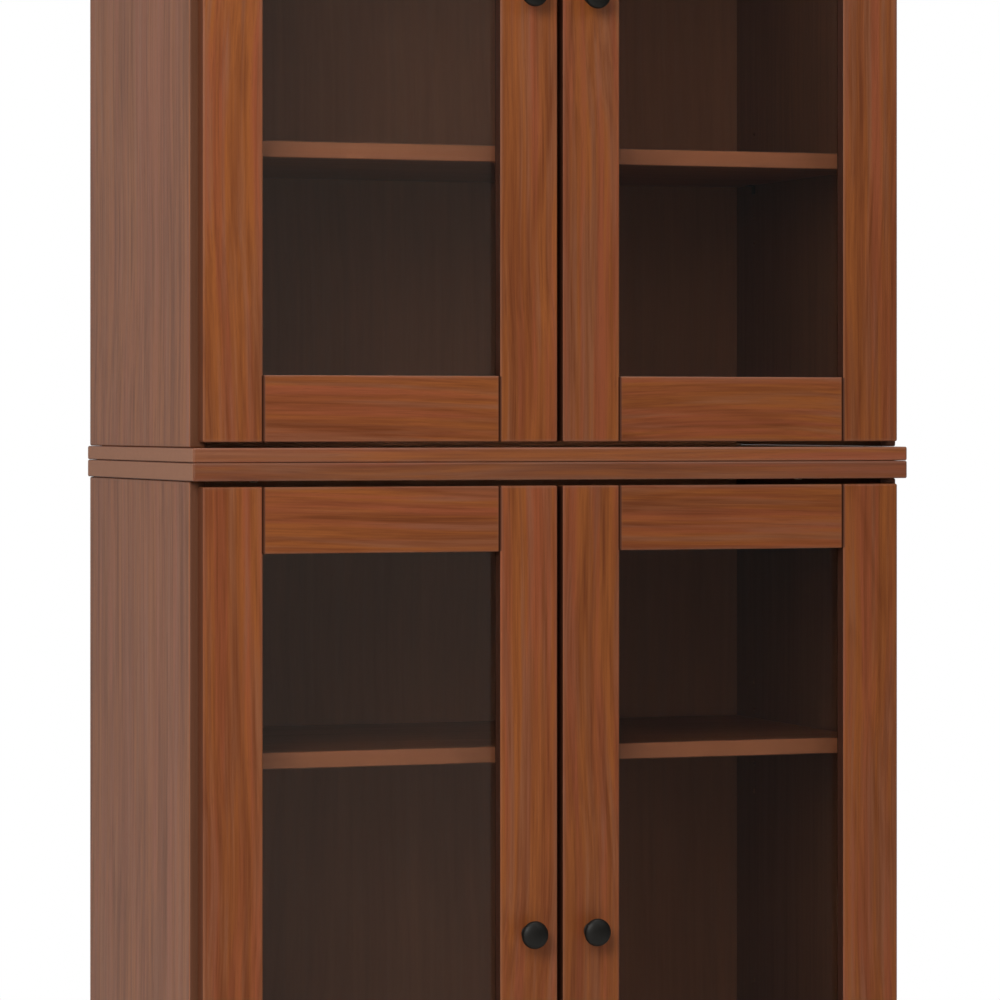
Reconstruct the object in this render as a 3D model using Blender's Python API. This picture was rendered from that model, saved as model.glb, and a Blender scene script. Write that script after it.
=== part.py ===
"""Pantry cabinet in two stacked tiers, each closed by a pair of glazed doors on cup hinges.

Metres, +Z up. The front faces -Y and the back stands towards +Y. The origin is on the floor
under the middle of the whole cabinet, knobs included.
"""

from math import cos, pi, sin

import bmesh
import bpy
from mathutils import Vector

# Gap left between two pieces that touch, and round a pivot pin.
FIT = 0.0003

# Case: two boxes of boards, one on the other, on a plinth.
CASE_WIDTH = 0.800
CASE_DEPTH = 0.423
TIER_HEIGHT = 0.957
SIDE_THICKNESS = 0.018
BOTTOM_THICKNESS = 0.018
LOWER_TOP_THICKNESS = 0.019
UPPER_BOTTOM_THICKNESS = 0.015
TOP_THICKNESS = 0.018
SLAB_SIDE_OVERHANG = 0.0026
SLAB_FRONT_OVERHANG = 0.0241
ARRIS = 0.0018
ARRIS_SEGMENTS = 3

# Back panel, held in a groove in all four boards round it.
BACK_THICKNESS = 0.006
BACK_INSET = 0.0091
GROOVE_DEPTH = 0.006

# Plinth frame under the case.
PLINTH_HEIGHT = 0.075
PLINTH_THICKNESS = 0.018
PLINTH_SIDE_INSET = 0.012
PLINTH_FRONT_INSET = 0.030
PLINTH_BACK_INSET = 0.010

# Two shelves in each tier: the first one's underside is set from the floor of the tier, and the
# second one's upper face from the ceiling.
SHELF_THICKNESS = 0.018
SHELF_FRONT_SETBACK = 0.039
SHELF_BACK_PLAY = 0.002
SHELF_END_PLAY = 0.0005
FIRST_SHELF_RISE = 0.3043
SECOND_SHELF_DROP = 0.2852

# Doors: two stiles of full height, two rails between them, and a pane let in from behind.
DOOR_THICKNESS = 0.020
DOOR_STANDOFF = 0.0025
DOOR_SIDE_INSET = 0.0084
DOOR_END_GAP = 0.006
MEETING_GAP = 0.006
STILE_WIDTH = 0.0644
RAIL_HEIGHT = 0.0695
PANE_THICKNESS = 0.003
PANE_PLAY = 0.001
BEAD_DEPTH = 0.0017
POCKET_LIP = 0.008

# Knobs, turned, at the middle of each meeting stile.
KNOB_PROJECTION = 0.025
KNOB_HEAD_RADIUS = 0.0147
KNOB_HEAD_THICKNESS = 0.011
KNOB_DOME_RISE = 0.0045
KNOB_RIM_RADIUS = 0.0022
KNOB_BASE_RADIUS = 0.0090
KNOB_BASE_THICKNESS = 0.0022
KNOB_FLARE_END = 0.0044
KNOB_NECK_RADIUS = 0.0060
KNOB_THROAT_RADIUS = 0.0072
KNOB_TIP_SHARE = 0.12
KNOB_SEGMENTS = 32
KNOB_ARC_STEPS = 4

# Cup hinges, two to a door. Places are (inboard, forward) in plan: the arm's pivot from the
# case's outer front corner, and the cup's pivot from the door's outer back corner.
ARM_PIVOT = (0.0330, 0.0040)
CUP_PIVOT = (0.0102, 0.0030)
HINGE_FROM_DOOR_END = 0.100
CUP_BORE_RADIUS = 0.0175
CUP_BORE_DEPTH = 0.0118
CUP_CENTRE_INSET = 0.0225
PIN_RADIUS = 0.0010
EYE_RADIUS = 0.0023
LINK_WIDTH = 0.010
LINK_THICKNESS = 0.0018
LINK_ELBOW = (0.0035, 0.0047)
ARM_WIDTH = 0.014
ARM_SLOT_DEPTH = 0.004
ARM_NECK_LENGTH = 0.014
ARM_LENGTH = 0.066
ARM_TAIL_HEIGHT = 0.006
ARM_SHOULDER_HEIGHT = 0.011
PLATE_THICKNESS = 0.0022
PLATE_LENGTH = 0.016
PLATE_WIDTH = 0.048
PLATE_LINE = 0.037
EYE_STEPS = 8
PIVOT_SEGMENTS = 16
BORE_SEGMENTS = 40

# Levels of the case, from the floor up, and its front in Y.
KNOB_REACH = DOOR_STANDOFF + DOOR_THICKNESS + FIT + KNOB_PROJECTION
CASE_FRONT = (KNOB_REACH - CASE_DEPTH) / 2
CASE_BACK = CASE_FRONT + CASE_DEPTH
CASE_SIDE = CASE_WIDTH / 2
LOWER_FLOOR = PLINTH_HEIGHT + FIT + BOTTOM_THICKNESS
LOWER_CEILING = LOWER_FLOOR + TIER_HEIGHT
UPPER_FLOOR = LOWER_CEILING + LOWER_TOP_THICKNESS + FIT + UPPER_BOTTOM_THICKNESS
UPPER_CEILING = UPPER_FLOOR + TIER_HEIGHT
TIER_FLOORS = {"lower": LOWER_FLOOR, "upper": UPPER_FLOOR}

STAINED_WOOD = ("stained_wood", (0.205, 0.066, 0.026, 1), 0.45, 0.0)
CABINET_GLASS = ("cabinet_glass", (0.80, 0.84, 0.82, 1), 0.03, 0.0)
BLACK_KNOB = ("black_knob", (0.012, 0.011, 0.010, 1), 0.42, 0.3)
HINGE_STEEL = ("hinge_steel", (0.62, 0.61, 0.59, 1), 0.30, 1.0)


def clear_scene():
    for old in list(bpy.data.objects):
        bpy.data.objects.remove(old, do_unlink=True)


def finish_named(finish):
    """The material of that name, made the first time it is asked for."""
    name, colour, roughness, metallic = finish
    if name in bpy.data.materials:
        return bpy.data.materials[name]
    material = bpy.data.materials.new(name)
    material.use_nodes = True
    shader = material.node_tree.nodes["Principled BSDF"]
    shader.inputs["Base Color"].default_value = colour
    shader.inputs["Roughness"].default_value = roughness
    shader.inputs["Metallic"].default_value = metallic
    material.diffuse_color = colour
    return material


def world_place(obj):
    """Where an object's origin is, for parents that are moved and never turned."""
    place = Vector((0, 0, 0))
    while obj is not None:
        place = place + obj.location
        obj = obj.parent
    return place


def add_object(name, mesh, place, parent=None):
    obj = bpy.data.objects.new(name, mesh)
    bpy.context.scene.collection.objects.link(obj)
    obj.parent = parent
    obj.location = Vector(place) - world_place(parent)
    return obj


def add_pivot(name, place, parent=None):
    pivot = add_object(name, None, place, parent)
    pivot.empty_display_size = 0.02
    return pivot


def coat(obj, finish):
    obj.data.materials.clear()
    obj.data.materials.append(finish_named(finish))


def mesh_of(name, shape):
    bmesh.ops.recalc_face_normals(shape, faces=shape.faces)
    mesh = bpy.data.meshes.new(name)
    shape.to_mesh(mesh)
    shape.free()
    return mesh


def block(name, low, high, parent=None):
    """A plain box between two corners, with its origin at its middle."""
    low, high = Vector(low), Vector(high)
    shape = bmesh.new()
    bmesh.ops.create_cube(shape, size=1)
    bmesh.ops.scale(shape, vec=high - low, verts=shape.verts)
    return add_object(name, mesh_of(name, shape), (low + high) / 2, parent)


def board(name, low, high, finish, parent=None):
    """A sawn board whose edges are eased."""
    obj = block(name, low, high, parent)
    coat(obj, finish)
    ease = obj.modifiers.new("eased_edges", "BEVEL")
    ease.width = ARRIS
    ease.segments = ARRIS_SEGMENTS
    ease.limit_method = "ANGLE"
    return obj


def prism(name, outline, low, high, place):
    """A plan outline of (x, y) points, standing from one height to another."""
    shape = bmesh.new()
    ring = [shape.verts.new((x, y, low)) for x, y in outline]
    face = shape.faces.new(ring)
    raised = bmesh.ops.extrude_face_region(shape, geom=[face])["geom"]
    moved = [item for item in raised if isinstance(item, bmesh.types.BMVert)]
    bmesh.ops.translate(shape, vec=(0, 0, high - low), verts=moved)
    return add_object(name, mesh_of(name, shape), place)


def round_outline(centre, radius, segments):
    steps = [2 * pi * step / segments for step in range(segments)]
    return [(centre[0] + radius * cos(turn), centre[1] + radius * sin(turn)) for turn in steps]


def turned(name, profile, place, segments, parent=None):
    """A solid turned round the Y axis, from (distance forward, radius) points. Forward is -Y."""
    shape = bmesh.new()
    rings = []
    for forward, radius in profile:
        circle = round_outline((0, 0), radius, segments)
        rings.append([shape.verts.new((x, -forward, z)) for x, z in circle])
    for near, far in zip(rings, rings[1:]):
        for step in range(segments):
            after = (step + 1) % segments
            shape.faces.new((near[step], near[after], far[after], far[step]))
    shape.faces.new(rings[0])
    shape.faces.new(rings[-1])
    obj = add_object(name, mesh_of(name, shape), place, parent)
    obj.data.shade_smooth()
    obj.data.set_sharp_from_angle(angle=pi / 5)
    return obj


def combine(obj, other, operation):
    """Cuts the other solid from this one or joins it to this one, and hides the other."""
    other.hide_render = True
    other.display_type = "WIRE"
    modifier = obj.modifiers.new(other.name, "BOOLEAN")
    modifier.operation = operation
    modifier.solver = "EXACT"
    modifier.object = other


def settled(obj, helpers):
    """The object's mesh with its modifiers applied, after which it and its helpers are removed."""
    bpy.context.view_layer.update()
    graph = bpy.context.evaluated_depsgraph_get()
    mesh = bpy.data.meshes.new_from_object(obj.evaluated_get(graph))
    for helper in [obj, *helpers]:
        bpy.data.objects.remove(helper, do_unlink=True)
    return mesh


# ---------------------------------------------------------------- case


def build_plinth():
    """Four boards on edge, standing on the floor, with the front and back ones between the ends."""
    side = CASE_SIDE - PLINTH_SIDE_INSET
    front = CASE_FRONT + PLINTH_FRONT_INSET
    back = CASE_BACK - PLINTH_BACK_INSET
    inner = side - PLINTH_THICKNESS
    for hand, sign in (("left", -1), ("right", 1)):
        edges = sorted((sign * side, sign * (inner + FIT)))
        low = (edges[0], front + PLINTH_THICKNESS + FIT, 0)
        board(f"plinth_{hand}", low, (edges[1], back, PLINTH_HEIGHT), STAINED_WOOD)
    front_high = (side, front + PLINTH_THICKNESS, PLINTH_HEIGHT)
    board("plinth_front", (-side, front, 0), front_high, STAINED_WOOD)
    back_low = (-inner, back - PLINTH_THICKNESS, 0)
    board("plinth_back", back_low, (inner, back, PLINTH_HEIGHT), STAINED_WOOD)


def build_slab(name, bottom, thickness):
    """A board across the case that stands proud of the sides and of the front."""
    low = (-CASE_SIDE - SLAB_SIDE_OVERHANG, CASE_FRONT - SLAB_FRONT_OVERHANG, bottom)
    high = (CASE_SIDE + SLAB_SIDE_OVERHANG, CASE_BACK, bottom + thickness)
    return board(name, low, high, STAINED_WOOD)


def build_tier(tier, floor, bottom_board, top_board):
    """Two sides and a back panel between a tier's bottom and top boards."""
    ceiling = floor + TIER_HEIGHT
    sides = []
    for hand, sign in (("left", -1), ("right", 1)):
        edges = sorted((sign * CASE_SIDE, sign * (CASE_SIDE - SIDE_THICKNESS)))
        low = (edges[0], CASE_FRONT, floor + FIT)
        high = (edges[1], CASE_BACK, ceiling - FIT)
        sides.append(board(f"{tier}_{hand}_side", low, high, STAINED_WOOD))
    reach = CASE_SIDE - SIDE_THICKNESS + GROOVE_DEPTH
    rear = CASE_BACK - BACK_INSET
    low = Vector((-reach, rear - BACK_THICKNESS, floor - GROOVE_DEPTH))
    high = Vector((reach, rear, ceiling + GROOVE_DEPTH))
    room = Vector((FIT, FIT, FIT))
    groove = block(f"{tier}_back_groove", low - room, high + room)
    for piece in [*sides, bottom_board, top_board]:
        combine(piece, groove, "DIFFERENCE")
    coat(block(f"{tier}_back_panel", low, high), STAINED_WOOD)


def build_shelves(tier, floor):
    first = floor + FIRST_SHELF_RISE
    second = floor + TIER_HEIGHT - SECOND_SHELF_DROP - SHELF_THICKNESS
    reach = CASE_SIDE - SIDE_THICKNESS - SHELF_END_PLAY
    front = CASE_FRONT + SHELF_FRONT_SETBACK
    back = CASE_BACK - BACK_INSET - BACK_THICKNESS - SHELF_BACK_PLAY
    for number, underside in enumerate((first, second), start=1):
        high = (reach, back, underside + SHELF_THICKNESS)
        board(f"{tier}_shelf_{number}", (-reach, front, underside), high, STAINED_WOOD)


def build_case():
    build_plinth()
    lower_bottom = build_slab("lower_bottom_board", PLINTH_HEIGHT + FIT, BOTTOM_THICKNESS)
    lower_top = build_slab("lower_top_board", LOWER_CEILING, LOWER_TOP_THICKNESS)
    upper_bottom_level = UPPER_FLOOR - UPPER_BOTTOM_THICKNESS
    upper_bottom = build_slab("upper_bottom_board", upper_bottom_level, UPPER_BOTTOM_THICKNESS)
    upper_top = build_slab("upper_top_board", UPPER_CEILING, TOP_THICKNESS)
    build_tier("lower", LOWER_FLOOR, lower_bottom, lower_top)
    build_tier("upper", UPPER_FLOOR, upper_bottom, upper_top)
    for tier, floor in TIER_FLOORS.items():
        build_shelves(tier, floor)


# ---------------------------------------------------------------- hinges


def plan(side, inboard, forward):
    """A plan point on the hinge's own side: side is -1 on the left of the case, 1 on the right."""
    return (-side * inboard, -forward)


def plan_block(name, side, inboard, forward, half_width):
    """A box in plan, from ranges inboard and forward of the pivot, to both sides of its height."""
    near = plan(side, inboard[0], forward[0])
    far = plan(side, inboard[1], forward[1])
    low = (min(near[0], far[0]), min(near[1], far[1]), -half_width)
    high = (max(near[0], far[0]), max(near[1], far[1]), half_width)
    return block(name, low, high)


def pivot_place(side, height, moving_end):
    """The world place of a hinge pivot: the arm's on the case, or the cup's on the door."""
    if moving_end:
        inboard = DOOR_SIDE_INSET + CUP_PIVOT[0]
        forward = DOOR_STANDOFF + CUP_PIVOT[1]
    else:
        inboard, forward = ARM_PIVOT
    return Vector((side * (CASE_SIDE - inboard), CASE_FRONT - forward, height))


def arm_mesh(side):
    """The arm: a swan-necked bar on a wing plate, forked round a pin. Its origin is the pin."""
    wall = SIDE_THICKNESS + FIT - ARM_PIVOT[0]
    eye = [pi - pi * step / EYE_STEPS for step in range(EYE_STEPS + 1)]
    outline = [(EYE_RADIUS * cos(turn), EYE_RADIUS * sin(turn)) for turn in eye]
    shoulder = (wall + ARM_SHOULDER_HEIGHT, -(ARM_NECK_LENGTH + ARM_LENGTH) / 2)
    outline += [(EYE_RADIUS, -ARM_NECK_LENGTH), shoulder]
    outline += [(wall + ARM_TAIL_HEIGHT, -ARM_LENGTH), (wall, -ARM_LENGTH)]
    plate_back = -PLATE_LINE - ARM_PIVOT[1] - PLATE_LENGTH / 2
    plate_front = plate_back + PLATE_LENGTH
    outline += [(wall, plate_front + PLATE_LENGTH / 2), (-EYE_RADIUS, -ARM_NECK_LENGTH)]
    half = ARM_WIDTH / 2
    arm = prism("arm", [plan(side, *point) for point in outline], -half, half, (0, 0, 0))
    wing_ranges = (wall, wall + PLATE_THICKNESS), (plate_back, plate_front)
    wing = plan_block("wing", side, *wing_ranges, PLATE_WIDTH / 2)
    slot_ranges = (-ARM_WIDTH, ARM_WIDTH), (-ARM_SLOT_DEPTH, ARM_WIDTH)
    slot = plan_block("slot", side, *slot_ranges, LINK_WIDTH / 2 + FIT)
    pin_outline = round_outline((0, 0), PIN_RADIUS, PIVOT_SEGMENTS)
    pin_half = (half + LINK_WIDTH / 2 + FIT) / 2
    pin = prism("pin", pin_outline, -pin_half, pin_half, (0, 0, 0))
    combine(arm, wing, "UNION")
    combine(arm, slot, "DIFFERENCE")
    combine(arm, pin, "UNION")
    return settled(arm, [wing, slot, pin])


def strap(name, side, start, end, half):
    """A straight run of the link's strip between two plan points."""
    along = (Vector(end) - Vector(start)).normalized()
    across = Vector((-along.y, along.x)) * LINK_THICKNESS / 2
    corners = [Vector(start) + across, Vector(end) + across]
    corners += [Vector(end) - across, Vector(start) - across]
    return prism(name, [plan(side, *corner) for corner in corners], -half, half, (0, 0, 0))


def link_mesh(side):
    """The link: a cranked strip with an eye at each end. Its origin is the arm's pivot."""
    cup_end = (
        DOOR_SIDE_INSET + CUP_PIVOT[0] - ARM_PIVOT[0],
        DOOR_STANDOFF + CUP_PIVOT[1] - ARM_PIVOT[1],
    )
    elbow = (cup_end[0] + LINK_ELBOW[0], cup_end[1] + LINK_ELBOW[1])
    half = LINK_WIDTH / 2

    def disc(name, centre, radius, half_width):
        outline = round_outline(plan(side, *centre), radius, PIVOT_SEGMENTS)
        return prism(name, outline, -half_width, half_width, (0, 0, 0))

    link = disc("link", (0, 0), EYE_RADIUS, half)
    solids = [
        strap("long_run", side, (0, 0), elbow, half),
        disc("bend", elbow, LINK_THICKNESS / 2, half),
        strap("short_run", side, elbow, cup_end, half),
        disc("cup_eye", cup_end, EYE_RADIUS, half),
    ]
    holes = [
        disc("arm_hole", (0, 0), PIN_RADIUS + FIT, LINK_WIDTH),
        disc("cup_hole", cup_end, PIN_RADIUS + FIT, LINK_WIDTH),
    ]
    for solid in solids:
        combine(link, solid, "UNION")
    for hole in holes:
        combine(link, hole, "DIFFERENCE")
    return settled(link, solids + holes)


def hinge_heights(floor):
    low = floor + DOOR_END_GAP + HINGE_FROM_DOOR_END
    high = floor + TIER_HEIGHT - DOOR_END_GAP - HINGE_FROM_DOOR_END
    return {"bottom": low, "top": high}


def build_hinges(prefix, side, floor, arm, link, swing):
    """A door's two arms, fixed to the side of the case, and the two links that swing with it."""
    for level, height in hinge_heights(floor).items():
        place = pivot_place(side, height, moving_end=False)
        coat(add_object(f"{prefix}_{level}_hinge_arm", arm, place), HINGE_STEEL)
        coat(add_object(f"{prefix}_{level}_hinge_link", link, place, swing), HINGE_STEEL)


# ---------------------------------------------------------------- doors


def knob_profile():
    """Base, waist and domed head, from the door face forwards."""
    head_back = KNOB_PROJECTION - KNOB_HEAD_THICKNESS
    rim = KNOB_RIM_RADIUS
    edge_centre = (KNOB_PROJECTION - KNOB_DOME_RISE - rim, KNOB_HEAD_RADIUS - rim)
    points = [(0, KNOB_BASE_RADIUS), (KNOB_BASE_THICKNESS, KNOB_BASE_RADIUS)]
    points += [(KNOB_FLARE_END, KNOB_NECK_RADIUS), (head_back, KNOB_THROAT_RADIUS)]
    for step in range(-KNOB_ARC_STEPS, KNOB_ARC_STEPS):
        turn = pi / 2 * step / KNOB_ARC_STEPS
        forward = edge_centre[0] + rim * sin(turn)
        points.append((forward, edge_centre[1] + rim * cos(turn)))
    dome_radius = edge_centre[1]
    for step in range(KNOB_ARC_STEPS):
        turn = pi / 2 * step / KNOB_ARC_STEPS
        forward = KNOB_PROJECTION - KNOB_DOME_RISE * (1 - sin(turn))
        points.append((forward, dome_radius * cos(turn)))
    points.append((KNOB_PROJECTION, dome_radius * KNOB_TIP_SHARE))
    return points


def build_door(tier, hand, side, floor, swing):
    """One door, hung on the outer side of its tier."""
    prefix = f"{tier}_{hand}"
    bottom = floor + DOOR_END_GAP
    top = floor + TIER_HEIGHT - DOOR_END_GAP
    back = CASE_FRONT - DOOR_STANDOFF
    front = back - DOOR_THICKNESS
    outer = side * (CASE_SIDE - DOOR_SIDE_INSET)
    inner = side * MEETING_GAP / 2
    outer_shoulder = outer - side * STILE_WIDTH
    inner_shoulder = inner + side * STILE_WIDTH
    hinge_line = pivot_place(side, (bottom + top) / 2, moving_end=True)
    pivot = add_pivot(f"{prefix}_door_pivot", hinge_line, swing)

    def framed(name, edge, other_edge, low, high):
        corner = (min(edge, other_edge), front, low)
        return board(name, corner, (max(edge, other_edge), back, high), STAINED_WOOD, pivot)

    rail_outer = outer_shoulder - side * FIT
    rail_inner = inner_shoulder + side * FIT
    frame = {
        "hinge_stile": framed(f"{prefix}_hinge_stile", outer, outer_shoulder, bottom, top),
        "meeting_stile": framed(f"{prefix}_meeting_stile", inner, inner_shoulder, bottom, top),
        "bottom_rail": framed(
            f"{prefix}_bottom_rail", rail_outer, rail_inner, bottom, bottom + RAIL_HEIGHT
        ),
        "top_rail": framed(f"{prefix}_top_rail", rail_outer, rail_inner, top - RAIL_HEIGHT, top),
    }
    # The pocket takes the pane from behind and leaves a lip round the opening.
    reach = (
        abs(outer_shoulder - inner_shoulder) / 2 + POCKET_LIP,
        (top - bottom) / 2 - RAIL_HEIGHT + POCKET_LIP,
    )
    middle = ((outer_shoulder + inner_shoulder) / 2, (bottom + top) / 2)
    pocket_front = back - BEAD_DEPTH - PANE_THICKNESS - FIT
    pocket_low = (middle[0] - reach[0], pocket_front, middle[1] - reach[1])
    pocket_high = (middle[0] + reach[0], back + DOOR_THICKNESS, middle[1] + reach[1])
    pocket = block(f"{prefix}_pane_pocket", pocket_low, pocket_high, pivot)
    for piece in frame.values():
        combine(piece, pocket, "DIFFERENCE")
    pane_y = pocket_front + FIT
    half = (reach[0] - PANE_PLAY, reach[1] - PANE_PLAY)
    pane_low = (middle[0] - half[0], pane_y, middle[1] - half[1])
    pane_high = (middle[0] + half[0], pane_y + PANE_THICKNESS, middle[1] + half[1])
    coat(block(f"{prefix}_pane", pane_low, pane_high, pivot), CABINET_GLASS)
    # Blind bores for the hinge cups, from the back of the hinge stile.
    for level, height in hinge_heights(floor).items():
        bore_line = (outer - side * CUP_CENTRE_INSET, back, height)
        bore_ends = [(-CUP_BORE_DEPTH, CUP_BORE_RADIUS), (CUP_BORE_DEPTH, CUP_BORE_RADIUS)]
        name = f"{prefix}_{level}_cup_bore"
        bore = turned(name, bore_ends, bore_line, BORE_SEGMENTS, pivot)
        combine(frame["hinge_stile"], bore, "DIFFERENCE")
    knob_line = (inner + side * STILE_WIDTH / 2, front - FIT, (bottom + top) / 2)
    knob = turned(f"{prefix}_knob", knob_profile(), knob_line, KNOB_SEGMENTS, pivot)
    coat(knob, BLACK_KNOB)


def build_doors():
    for hand, side in (("left", -1), ("right", 1)):
        arm = arm_mesh(side)
        link = link_mesh(side)
        for tier, floor in TIER_FLOORS.items():
            prefix = f"{tier}_{hand}"
            middle = floor + TIER_HEIGHT / 2
            arm_line = pivot_place(side, middle, moving_end=False)
            swing = add_pivot(f"{prefix}_link_pivot", arm_line)
            build_hinges(prefix, side, floor, arm, link, swing)
            build_door(tier, hand, side, floor, swing)


clear_scene()
build_case()
build_doors()
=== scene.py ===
"""Looks of the pantry cabinet: stained boards, drilled sides, panes, knobs and cup hinges."""

from math import cos, pi, radians, sin

import bmesh
import bpy
from mathutils import Matrix, Vector


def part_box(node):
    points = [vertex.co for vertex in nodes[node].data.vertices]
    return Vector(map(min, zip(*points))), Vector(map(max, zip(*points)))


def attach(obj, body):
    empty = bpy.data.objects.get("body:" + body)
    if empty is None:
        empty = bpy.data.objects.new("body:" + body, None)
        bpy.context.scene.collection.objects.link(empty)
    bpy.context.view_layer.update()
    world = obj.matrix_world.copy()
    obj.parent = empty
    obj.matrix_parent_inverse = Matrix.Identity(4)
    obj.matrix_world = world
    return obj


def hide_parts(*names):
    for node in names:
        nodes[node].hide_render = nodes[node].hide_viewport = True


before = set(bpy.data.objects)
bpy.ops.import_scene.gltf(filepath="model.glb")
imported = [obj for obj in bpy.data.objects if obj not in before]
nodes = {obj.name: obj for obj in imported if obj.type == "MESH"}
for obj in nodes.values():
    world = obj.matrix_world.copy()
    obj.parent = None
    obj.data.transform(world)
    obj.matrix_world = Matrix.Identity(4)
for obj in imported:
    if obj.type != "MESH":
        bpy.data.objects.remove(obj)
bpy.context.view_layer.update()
TIERS = ("lower", "upper")
HANDS = (("left", -1), ("right", 1))

# ------------------------------------------------------------------ studio
# A pale floor and a white backdrop in a room that lights the cabinet more dimly from in front.
# A large soft lamp stands high on the left, with weaker ones on the right, above and low in
# front. The lens is long and level, and stands to the left of the cabinet.

LENS = 152
SENSOR = 36
LENS_SHIFT = -0.0773
CAMERA_TURN = radians(19.5)
CAMERA_LEFT_OF_CASE = 1.152
CAMERA_BEFORE_CASE = 4.214
CAMERA_ABOVE_SLAB = 0.0261

case_low, case_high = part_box("upper_left_side")
slab_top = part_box("upper_bottom_board")[1].z
camera = bpy.data.objects.new("camera", bpy.data.cameras.new("camera"))
bpy.context.scene.collection.objects.link(camera)
camera.data.lens = LENS
camera.data.sensor_width = SENSOR
camera.data.shift_y = LENS_SHIFT
camera.location = (
    case_low.x - CAMERA_LEFT_OF_CASE,
    case_low.y - CAMERA_BEFORE_CASE,
    slab_top + CAMERA_ABOVE_SLAB,
)
camera.rotation_euler = (pi / 2, 0, -CAMERA_TURN)
bpy.context.scene.camera = camera
bpy.context.scene.view_settings.view_transform = "Standard"


def mesh_of(name, shape):
    """A mesh from a bmesh, which is freed."""
    mesh = bpy.data.meshes.new(name)
    shape.to_mesh(mesh)
    shape.free()
    return mesh


FLOOR_RADIUS = 3.2
FLOOR_SEGMENTS = 96
FLOOR_COLOUR = (0.82, 0.82, 0.81, 1)
FLOOR_ROUGHNESS = 0.6
floor_shape = bmesh.new()
bmesh.ops.create_circle(floor_shape, cap_ends=True, segments=FLOOR_SEGMENTS, radius=FLOOR_RADIUS)
floor = bpy.data.objects.new("floor", mesh_of("floor", floor_shape))
bpy.context.scene.collection.objects.link(floor)
floor_paint = bpy.data.materials.new("pale_floor")
floor_paint.use_nodes = True
floor_shader = floor_paint.node_tree.nodes["Principled BSDF"]
floor_shader.inputs["Base Color"].default_value = FLOOR_COLOUR
floor_shader.inputs["Roughness"].default_value = FLOOR_ROUGHNESS
floor.data.materials.append(floor_paint)


def calc(tree, operation, first, second=0.0, third=0.0, clamp=False):
    """A Math node fed by sockets or plain numbers. Returns its output."""
    node = tree.nodes.new("ShaderNodeMath")
    node.operation = operation
    node.use_clamp = clamp
    for socket, value in zip(node.inputs, (first, second, third)):
        if isinstance(value, (int, float)):
            socket.default_value = value
        else:
            tree.links.new(value, socket)
    return node.outputs[0]


def mixed(tree, share, first, second):
    """Two colours mixed by a share. Returns the colour output."""
    node = tree.nodes.new("ShaderNodeMix")
    node.data_type = "RGBA"
    for socket, value in ((node.inputs[0], share), (node.inputs[6], first), (node.inputs[7], second)):
        if isinstance(value, (int, float, tuple)):
            socket.default_value = value
        else:
            tree.links.new(value, socket)
    return node.outputs[2]


def vector_math(tree, operation, first, second=None):
    """A Vector Math node fed by a socket and by a socket or plain vector. Returns the node."""
    node = tree.nodes.new("ShaderNodeVectorMath")
    node.operation = operation
    tree.links.new(first, node.inputs[0])
    if isinstance(second, bpy.types.NodeSocket):
        tree.links.new(second, node.inputs[1])
    elif second is not None:
        node.inputs[1].default_value = second
    return node


DIM_ROOM = (0.075, 0.075, 0.075, 1)
BRIGHT_ROOM = (0.34, 0.34, 0.34, 1)
BRIGHT_SIDE = (-0.45, 0.80, 0.40)
DIMMEST_FACING = -0.6
WHITE = (1, 1, 1, 1)
room = bpy.data.worlds.new("white_room")
room.use_nodes = True
tree = room.node_tree
outlook = tree.nodes.new("ShaderNodeTexCoord")
facing_bright = vector_math(tree, "DOT_PRODUCT", outlook.outputs["Generated"], BRIGHT_SIDE)
wall_tone = tree.nodes.new("ShaderNodeMapRange")
wall_tone.inputs["From Min"].default_value = DIMMEST_FACING
tree.links.new(facing_bright.outputs["Value"], wall_tone.inputs["Value"])
walls = mixed(tree, wall_tone.outputs["Result"], DIM_ROOM, BRIGHT_ROOM)

# The backdrop is white to the camera, and through a pane where nothing has scattered the ray.
seen = tree.nodes.new("ShaderNodeLightPath")
bounces = calc(tree, "ADD", seen.outputs["Diffuse Depth"], seen.outputs["Glossy Depth"])
direct = calc(tree, "LESS_THAN", bounces, 0.5)
through = seen.outputs["Is Transmission Ray"]
in_view = calc(tree, "MULTIPLY_ADD", through, direct, seen.outputs["Is Camera Ray"], clamp=True)
backdrop = mixed(tree, in_view, walls, WHITE)
tree.links.new(backdrop, tree.nodes["Background"].inputs["Color"])
bpy.context.scene.world = room

LAMPS = (
    # name, place, where it points, width, height, watts, colour
    ("key_lamp", (-2.9, -3.6, 3.1), (0.0, 0.0, 1.25), 2.4, 2.4, 178, (1.0, 0.97, 0.94)),
    ("right_lamp", (2.0, -3.4, 3.4), (0.0, 0.0, 1.1), 1.6, 1.6, 22, (1.0, 0.97, 0.94)),
    ("top_lamp", (0.4, -0.6, 4.2), (0.0, 0.0, 0.0), 2.0, 2.0, 40, (1.0, 0.98, 0.96)),
    ("low_panel", (0.15, -4.0, 1.6), (0.15, 0.0, 1.6), 2.36, 3.6, 4.2, (1.0, 0.82, 0.68)),
)
for name, place, target, width, height, watts, colour in LAMPS:
    lamp = bpy.data.objects.new(name, bpy.data.lights.new(name, "AREA"))
    bpy.context.scene.collection.objects.link(lamp)
    lamp.data.shape = "RECTANGLE"
    lamp.data.size = width
    lamp.data.size_y = height
    lamp.data.energy = watts
    lamp.data.color = colour
    lamp.location = place
    lamp.rotation_euler = (Vector(target) - Vector(place)).to_track_quat("-Z", "Y").to_euler()
    lamp.visible_camera = False

# ------------------------------------------------------------------ plinth
# Four boards of close-grained wood on edge, glued and screwed into a frame that lifts the case
# off the floor. They are stained a warm red-brown, their corners eased and lacquered satin.


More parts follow.
